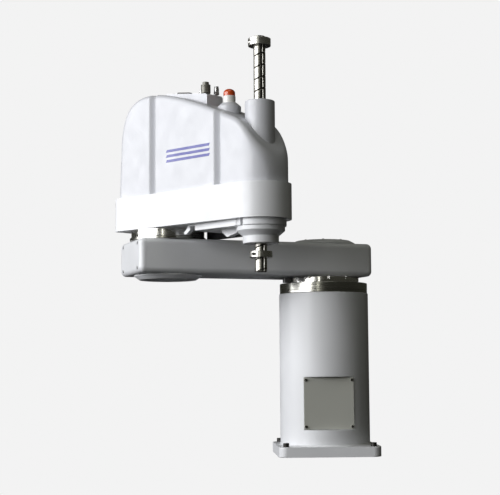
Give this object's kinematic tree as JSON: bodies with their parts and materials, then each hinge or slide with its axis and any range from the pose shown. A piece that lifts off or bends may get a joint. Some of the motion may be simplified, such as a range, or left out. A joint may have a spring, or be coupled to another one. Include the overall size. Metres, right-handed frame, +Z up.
{
  "type": "scara robot arm",
  "caption": "Bench-mounted SCARA robot arm: round column on a square plate, box-section inner arm, covered outer arm and a hollow ball-screw spline shaft that lifts and turns.",
  "frame": {"origin": "centre of the base plate's underside, on the shoulder axis", "axes": "+Z up along the shoulder axis, -Y out of the base's front cover plate, +X to the right seen from the front"},
  "size_m": [0.7086, 0.6099, 1.063],
  "materials": {
    "paint_white": "gloss",
    "paint_cover": "satin",
    "cover_white": "gloss",
    "steel": "turned",
    "bright_steel": "ground",
    "aluminium": "satin",
    "black_oxide": "black oxide",
    "motor_black": "matte",
    "black_plastic": "satin",
    "rubber": "matte",
    "lamp_white": "gloss",
    "lamp_orange": "clear lens"
  },
  "bodies": {
    "base": {"base_casting": "paint_white", "front_cover_plate": "paint_cover", "front_cover_screw_1": "steel", "front_cover_screw_2": "steel", "front_cover_screw_3": "steel", "front_cover_screw_4": "steel", "rear_connector_panel": "paint_cover", "power_connector": "black_plastic", "signal_connector": "black_plastic", "rear_air_fitting": "black_plastic", "mounting_bolt_1": "black_oxide", "mounting_bolt_2": "black_oxide", "mounting_bolt_3": "black_oxide", "mounting_bolt_4": "black_oxide", "j1_motor": "motor_black", "j1_reducer_case": "steel"},
    "arm_1": {"j1_output_flange": "bright_steel", "j1_stop_block": "aluminium", "arm1_housing": "paint_white", "arm1_shoulder_cap": "paint_white", "arm1_elbow_cap": "paint_white", "elbow_cap_screw_1": "steel", "elbow_cap_screw_2": "steel", "elbow_cap_screw_3": "steel", "elbow_cap_screw_4": "steel", "j1_top_lid": "paint_white", "j2_bottom_lid": "paint_white", "arm1_harness": "rubber", "j2_reducer_case": "steel"},
    "arm_2": {"j2_output_flange": "bright_steel", "arm2_casting": "paint_white", "arm2_hose_channel": "paint_white", "arm2_cover": "cover_white", "shaft_tube": "cover_white", "j2_motor": "motor_black", "j3_motor_stand": "aluminium", "j3_motor": "motor_black", "j3_belt": "rubber", "j4_motor_stand": "aluminium", "j4_motor": "motor_black", "j4_belt": "rubber", "nut_bridge": "aluminium", "user_panel": "cover_white", "user_signal_connector": "black_oxide", "user_air_fitting_1": "bright_steel", "user_air_fitting_2": "bright_steel", "brake_switch_body": "black_plastic", "lamp_base": "cover_white", "lamp_collar": "lamp_white", "lamp_dome": "lamp_orange"},
    "brake_button": {"brake_button": "black_plastic"},
    "spline_nut": {"spline_nut": "bright_steel", "spline_nut_pulley": "aluminium"},
    "ball_nut": {"ball_nut": "bright_steel", "ball_nut_pulley": "aluminium"},
    "shaft": {"z_shaft": "bright_steel", "upper_collar": "steel", "lower_collar": "steel"},
    "j3_motor_pulley": {"j3_motor_pulley": "aluminium"},
    "j4_motor_pulley": {"j4_motor_pulley": "aluminium"}
  },
  "joints": [
    {"name": "shoulder_turn", "type": "hinge", "parent": "base", "child": "arm_1", "pos_m": [0, 0, 0.475], "axis": [0, 0, 1], "range_deg": [-79.4, 224.6]},
    {"name": "elbow_turn", "type": "hinge", "parent": "arm_1", "child": "arm_2", "pos_m": [-0.42941, -0.13457, 0.587], "axis": [0, 0, 1], "range_deg": [-261.8, 33.2]},
    {"name": "shaft_turn", "type": "hinge", "parent": "arm_2", "child": "spline_nut", "pos_m": [-0.19658, -0.39589, 0.58], "axis": [0, 0, 1], "range_deg": [-360, 360]},
    {"name": "shaft_lift", "type": "slide", "parent": "spline_nut", "child": "shaft", "axis": [0, 0, 1], "range_m": [-0.32, 0]},
    {"name": "ball_nut_turn", "type": "hinge", "parent": "spline_nut", "child": "ball_nut", "pos_m": [-0.19658, -0.39589, 0.67], "axis": [0, 0, 1], "range_deg": [-5, 3845]},
    {"name": "j3_motor_turn", "type": "hinge", "parent": "arm_2", "child": "j3_motor_pulley", "pos_m": [-0.32473, -0.30917, 0.65], "axis": [0, 0, 1], "range_deg": [-10, 7930]},
    {"name": "j4_motor_turn", "type": "hinge", "parent": "arm_2", "child": "j4_motor_pulley", "pos_m": [-0.26799, -0.25862, 0.624], "axis": [0, 0, 1], "range_deg": [-743, 743]},
    {"name": "brake_press", "type": "slide", "parent": "arm_2", "child": "brake_button", "axis": [0, 0, -1], "range_m": [0, 0.004], "stiffness_N_per_m": 400, "springref_m": -0.004}
  ],
  "couplings": [
    {"joint": "ball_nut_turn", "follows": "shaft_lift", "rad_per_m": -209.44},
    {"joint": "j3_motor_turn", "follows": "shaft_lift", "rad_per_m": -431.97},
    {"joint": "j4_motor_turn", "follows": "shaft_turn", "ratio": 2.0625}
  ]
}
